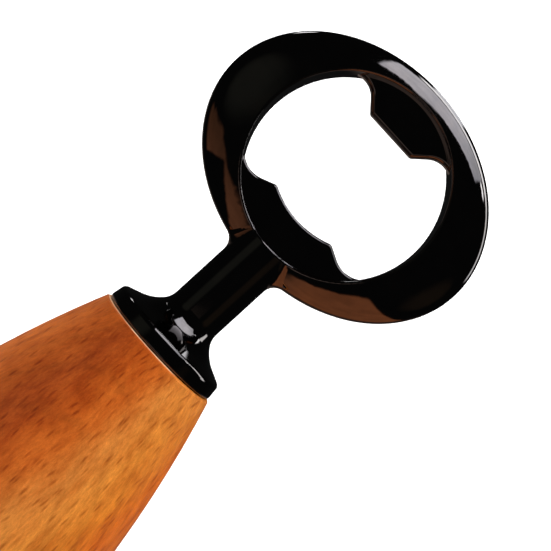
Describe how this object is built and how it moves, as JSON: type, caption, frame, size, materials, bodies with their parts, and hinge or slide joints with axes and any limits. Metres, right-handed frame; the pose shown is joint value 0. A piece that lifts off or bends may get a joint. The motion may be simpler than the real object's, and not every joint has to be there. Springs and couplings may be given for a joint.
{
  "type": "souvenir bottle opener",
  "caption": "Hand bottle opener: a glossy black oval ring head with a lifting tab and a curved lip, on a turned wooden handle that stands on its flat end.",
  "frame": {"origin": "centre of the flat end that the handle stands on", "axes": "+Z along the handle towards the ring, X across the ring's width, -Y out of the ring's front face"},
  "size_m": [0.0458, 0.0412, 0.1448],
  "materials": {
    "black_nickel": "mirror gloss black plating on a zinc casting",
    "beech_wood": "oiled, satin",
    "stud_steel": "zinc plated thread",
    "insert_brass": "machined"
  },
  "bodies": {
    "root": {"opener_head": "black_nickel", "handle": "beech_wood", "threaded_stud": "stud_steel", "threaded_insert": "insert_brass"}
  },
  "joints": []
}
